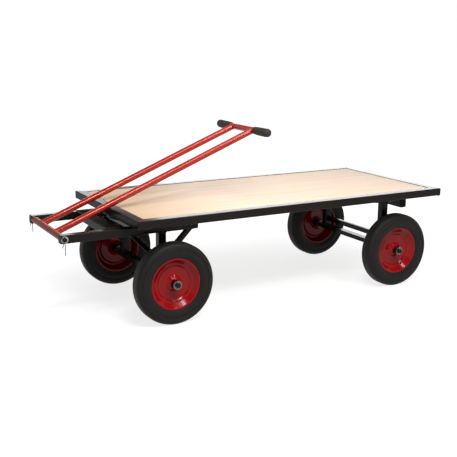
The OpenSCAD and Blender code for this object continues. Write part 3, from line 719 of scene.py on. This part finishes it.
def tyre_rubber(name):
    """Vulcanised rubber: a matt warm black with a soft bloom and the mould's fine grain, drawn at 2.6 mm."""
    material, tree, shader, place = start_material(name)
    cloud = add(tree, "ShaderNodeTexNoise", {"Vector": place, "Scale": 9.0, "Detail": 4.0})
    bloom = add(tree, "ShaderNodeTexNoise", {"Vector": place, "Scale": 60.0, "Detail": 3.0})
    grain = add(tree, "ShaderNodeTexNoise", {"Vector": place, "Scale": 380.0, "Detail": 2.0})
    tone = add(tree, "ShaderNodeMix", {0: cloud.outputs[0], 6: linear("#151312"), 7: linear("#1d1a19")},
               data_type="RGBA")
    bloom_mask = add(tree, "ShaderNodeMapRange", {0: bloom.outputs[0], 1: 0.45, 2: 0.75, 3: 0.0, 4: 0.3})
    dusted = add(tree, "ShaderNodeMix",
                 {0: bloom_mask.outputs[0], 6: tone.outputs[2], 7: linear("#262321")}, data_type="RGBA")
    gloss = add(tree, "ShaderNodeMapRange", {0: bloom.outputs[0], 3: 0.5, 4: 0.68})
    bump = add(tree, "ShaderNodeBump", {"Height": grain.outputs[0], "Strength": 0.3, "Distance": 0.0003})
    tree.links.new(dusted.outputs[2], shader.inputs["Base Color"])
    tree.links.new(gloss.outputs[0], shader.inputs["Roughness"])
    tree.links.new(bump.outputs[0], shader.inputs["Normal"])
    shader.inputs["IOR"].default_value = 1.52
    shader.inputs["Specular IOR Level"].default_value = 0.16
    return material


WHEELS = ("front_left", "front_right", "rear_left", "rear_right")
rubber = tyre_rubber("vulcanised_tyre_rubber")
barrel_radius = 0.119
bead_radius = 0.1275
bead_half = 0.028
ridge = 0.003
ridge_fillet = 0.0006
crown_steps = 12

for place in WHEELS:
    low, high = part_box(place + "_tyre")
    centre = (low + high) / 2
    radius = (high.z - low.z) / 2
    half = (high.y - low.y) / 2
    tread_half = 0.4 * half
    ridge_radius = radius - half + tread_half
    right = [
        (barrel_radius, bead_half, 0.0), (bead_radius, bead_half, 0.0005),
        (bead_radius + 0.001, bead_half + 0.005, 0.0015), (0.75 * radius, half - 0.0006, 0.02),
        (ridge_radius - 0.004, half - ridge, 0.001), (ridge_radius - 0.001, half, ridge_fillet),
        (ridge_radius + 0.001, half, ridge_fillet)]
    crown_from = ridge_radius + ridge
    for i in range(crown_steps + 1):
        a = 0.5 * math.pi * i / crown_steps
        right.append((crown_from + (radius - crown_from) * math.sin(a),
                      tread_half + (half - ridge - tread_half) * math.cos(a), 0.0))
    left = [(r, -y, fillet) for r, y, fillet in reversed(right)]
    tyre = lathe("smooth_tyre_" + place, rounded(right + left, steps=4), centre, (0, 1, 0), (0, 0, 1),
                 around=144)
    tyre.data.materials.append(rubber)
    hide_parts(place + "_tyre")
    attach(tyre, "wheel_" + place)


# ---- Rims ----
# Rims pressed from 3 mm steel sheet: a flange, a sloping wall, a ledge, a step down to a dished disc and
# a coned boss round the hub. They are powder coated a deeper crimson than the handle.

rim_coat = powder_coat("gloss_crimson_powder_coat", "#8b0206", "#9b050a", 0.1, 0.17)
sheet = 0.003
boss_radius = 0.042
hub_weld_places = (0.0182, 0.0148)
hub_weld_steps = 48

for place in WHEELS:
    low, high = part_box(place + "_rim")
    centre = (low + high) / 2
    flange_radius = (high.z - low.z) / 2
    half = (high.y - low.y) / 2
    outwards = 1 if centre.y > 0 else -1
    hub_low, hub_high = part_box(place + "_hub")
    hub_radius = (hub_high.z - hub_low.z) / 2
    bore = flange_radius - 0.0115
    ledge_radius = 0.77 * flange_radius
    step_radius = 0.71 * flange_radius
    dish_radius = 0.64 * flange_radius
    rim_outline = rounded([
        (flange_radius, half, 0.0015), (bore + 0.004, half, 0.005), (ledge_radius, 0.011, 0.004),
        (step_radius, 0.011, 0.0025), (dish_radius, 0.003, 0.004), (boss_radius, 0.003, 0.01),
        (hub_radius, 0.018, 0.0), (hub_radius, 0.015, 0.0), (boss_radius + 0.001, 0.0, 0.008),
        (dish_radius, 0.0, 0.003), (step_radius, 0.008, 0.002), (ledge_radius, 0.008, 0.003),
        (bore, half - 0.007, 0.0), (bore, -half, 0.004), (flange_radius, -half, 0.0015),
        (flange_radius, -half + sheet, 0.001), (bore + sheet, -half + sheet, 0.001),
        (bore + sheet, half - sheet, 0.001), (flange_radius, half - sheet, 0.001)], steps=5)
    rim = lathe("dished_rim_" + place, rim_outline, centre, (0, outwards, 0), (0, 0, 1), around=144)
    rim.data.materials.append(rim_coat)
    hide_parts(place + "_rim")
    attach(rim, "wheel_" + place)
    runs = []
    for along in hub_weld_places:
        ring = []
        for i in range(hub_weld_steps + 1):
            a = math.tau * i / hub_weld_steps
            spoke = Vector((hub_radius * math.cos(a), outwards * along, hub_radius * math.sin(a)))
            ring.append(centre + spoke)
        runs.append(ring)
    weld("hub_welds_" + place, "wheel_" + place, runs, rim_coat, 6, radius=0.0021)


# ---- Hubs, bearings and axle ends ----
# A turned steel hub tube with oiled plain bearings runs on the spindle between two washers, and a bent
# split pin keeps it on. Hub, washers and pins are zinc plated, and the bearings are brown bronze.

finish_nodes(cloudy_metal("dulled_zinc_washers", "#716e68", "#55524c", 0.3),
             "front_axle_washers", "rear_axle_washers")
finish_nodes(cloudy_metal("oiled_sintered_bronze", "#8d7350", "#6b563c", 0.35),
             *[place + "_bearings" for place in WHEELS])
finish_nodes(cloudy_metal("turned_zinc_hub", "#57544e", "#403d39", 0.26),
             *[place + "_hub" for place in WHEELS])

pin_wire = 0.0011
eye_radius = 0.0034
eye_steps = 10
splay_radius = 0.005
splay_height = 0.003
splay_steps = 5

for axle, body in (("front", "turntable"), ("rear", "chassis")):
    runs = []
    for low, high in solids(axle + "_split_pins"):
        centre = (low + high) / 2
        top = high.z - 2 * eye_radius
        bend_z = low.z + splay_height
        for leg in (-1, 1):
            run = []
            for i in range(eye_steps):
                a = math.pi * i / eye_steps
                run.append(Vector((centre.x + leg * eye_radius * math.sin(a), centre.y,
                                   top + eye_radius * (1 + math.cos(a)))))
            run.append(Vector((centre.x + leg * pin_wire, centre.y, top)))
            run.append(Vector((centre.x + leg * pin_wire, centre.y, bend_z)))
            for i in range(1, splay_steps + 1):
                a = math.radians(14 * i)
                run.append(Vector((centre.x + leg * (pin_wire + splay_radius * (1 - math.cos(a))), centre.y,
                                   bend_z - splay_radius * math.sin(a))))
            runs.append(run)
    pins = wire("bent_split_pins_" + axle, runs, pin_wire)
    pins.data.materials.append(zinc_plate)
    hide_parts(axle + "_split_pins")
    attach(pins, body)


# ---- Floor, light and camera ----
# A plain white floor and backdrop under soft studio light from above, with the camera at chest height on
# the trolley's left, towards its front.

def studio_floor(name):
    """Matt white paint. It reads as white to the camera and in gloss, and keeps the soft shadow."""
    material, tree, shader, place = start_material(name)
    tree.nodes.remove(shader)
    ray = add(tree, "ShaderNodeLightPath")
    mirrored = add(tree, "ShaderNodeMath",
                   {0: ray.outputs["Is Glossy Ray"], 1: ray.outputs["Is Transmission Ray"]},
                   operation="MAXIMUM")
    seen = add(tree, "ShaderNodeMath", {0: ray.outputs["Is Camera Ray"], 1: mirrored.outputs[0]},
               operation="MAXIMUM")
    away = add(tree, "ShaderNodeVectorMath", {0: place}, operation="LENGTH")
    fill = add(tree, "ShaderNodeMapRange", {0: away.outputs["Value"], 1: 0.6, 2: 2.6, 3: 0.78, 4: 0.99})
    glow = add(tree, "ShaderNodeMath", {0: seen.outputs[0], 1: fill.outputs[0]}, operation="MULTIPLY")
    white = add(tree, "ShaderNodeEmission", {"Color": (1, 1, 1, 1), "Strength": glow.outputs[0]})
    matt = add(tree, "ShaderNodeBsdfDiffuse", {"Color": (0.4, 0.4, 0.4, 1)})
    both = add(tree, "ShaderNodeAddShader", {0: white.outputs[0], 1: matt.outputs[0]})
    tree.links.new(both.outputs[0], tree.nodes["Material Output"].inputs["Surface"])
    return material


span = 60.0
floor_corners = [(-span, -span, 0), (span, -span, 0), (span, span, 0), (-span, span, 0)]
floor = mesh_object("studio_floor", floor_corners, (), [(0, 1, 2, 3)])
floor.data.materials.append(studio_floor("white_floor"))

world = bpy.data.worlds.new("studio")
bpy.context.scene.world = world
world.use_nodes = True
backdrop = world.node_tree
sky = backdrop.nodes["Background"]
ray = add(backdrop, "ShaderNodeLightPath")
mirrored = add(backdrop, "ShaderNodeMath",
               {0: ray.outputs["Is Glossy Ray"], 1: ray.outputs["Is Transmission Ray"]}, operation="MAXIMUM")
shown = add(backdrop, "ShaderNodeMath", {0: ray.outputs["Is Camera Ray"], 1: mirrored.outputs[0]},
            operation="MAXIMUM")
facing = add(backdrop, "ShaderNodeTexCoord").outputs["Generated"]
height = add(backdrop, "ShaderNodeSeparateXYZ", {"Vector": facing}).outputs["Z"]
dome = add(backdrop, "ShaderNodeMapRange", {0: height, 1: 0.3, 2: 0.5, 3: 1.0, 4: 0.2},
           interpolation_type="SMOOTHSTEP")
level = add(backdrop, "ShaderNodeMapRange", {0: shown.outputs[0], 3: 0.19, 4: dome.outputs[0]})
sky.inputs["Color"].default_value = (1, 1, 1, 1)
backdrop.links.new(level.outputs[0], sky.inputs["Strength"])


def soft_box(name, spot, aim, width, height, radiance):
    """A soft area lamp of an even radiance, where 1 is white."""
    lamp = bpy.data.lights.new(name, "AREA")
    lamp.shape = "RECTANGLE"
    lamp.size, lamp.size_y = width, height
    lamp.energy = radiance * math.pi * width * height
    holder = bpy.data.objects.new(name, lamp)
    holder.visible_camera = False
    holder.location = spot
    holder.rotation_mode = "QUATERNION"
    holder.rotation_quaternion = (Vector(aim) - Vector(spot)).to_track_quat("-Z", "Y")
    bpy.context.scene.collection.objects.link(holder)


# A broad box lights the left side from above, a weak one hangs overhead, and two small ones draw the
# bright lines on tubes and rims. The two far off on the right are low, and shine in the rails' tops.
soft_box("broad_soft_box", (0.35, 1.4, 2.6), (1.01, 0.4, 0.3), 2.0, 1.2, 6.6)
soft_box("key_soft_box", (0.8, 1.95, 2.42), (0.3, 0.0, 0.3), 0.7, 0.3, 32.0)
soft_box("rear_key_soft_box", (-0.9, 2.3, 2.5), (-0.5, 0.0, 0.3), 0.55, 0.45, 32.0)
soft_box("overhead_soft_box", (-0.45, 0.0, 3.2), (-0.3, 0.0, 0.5), 2.2, 1.4, 0.9)
soft_box("back_soft_box", (-0.6, -5.0, 1.45), (0.7, -0.3, 0.5), 1.1, 0.8, 2.9)
soft_box("long_back_soft_box", (-4.1, -5.0, 1.7), (-4.1, 0.0, 1.4), 4.6, 0.9, 2.9)

view_azimuth = math.radians(150.6)
view_elevation = math.radians(13.44)
view_distance = 4.463
view_roll = 0.008
view_aim = Vector((0.0370, -0.0226, 0.3246))
lens = bpy.data.cameras.new("studio_camera")
lens.sensor_width = 36.0
lens.lens = 65.08
camera = bpy.data.objects.new("studio_camera", lens)
bpy.context.scene.collection.objects.link(camera)
back = Vector((math.sin(view_azimuth) * math.cos(view_elevation),
               -math.cos(view_azimuth) * math.cos(view_elevation), math.sin(view_elevation)))
camera.location = view_aim + back * view_distance
camera.rotation_mode = "QUATERNION"
camera.rotation_quaternion = (-back).to_track_quat("-Z", "Y") @ Quaternion((0, 0, 1), view_roll)
bpy.context.scene.camera = camera
bpy.context.scene.view_settings.view_transform = "Standard"
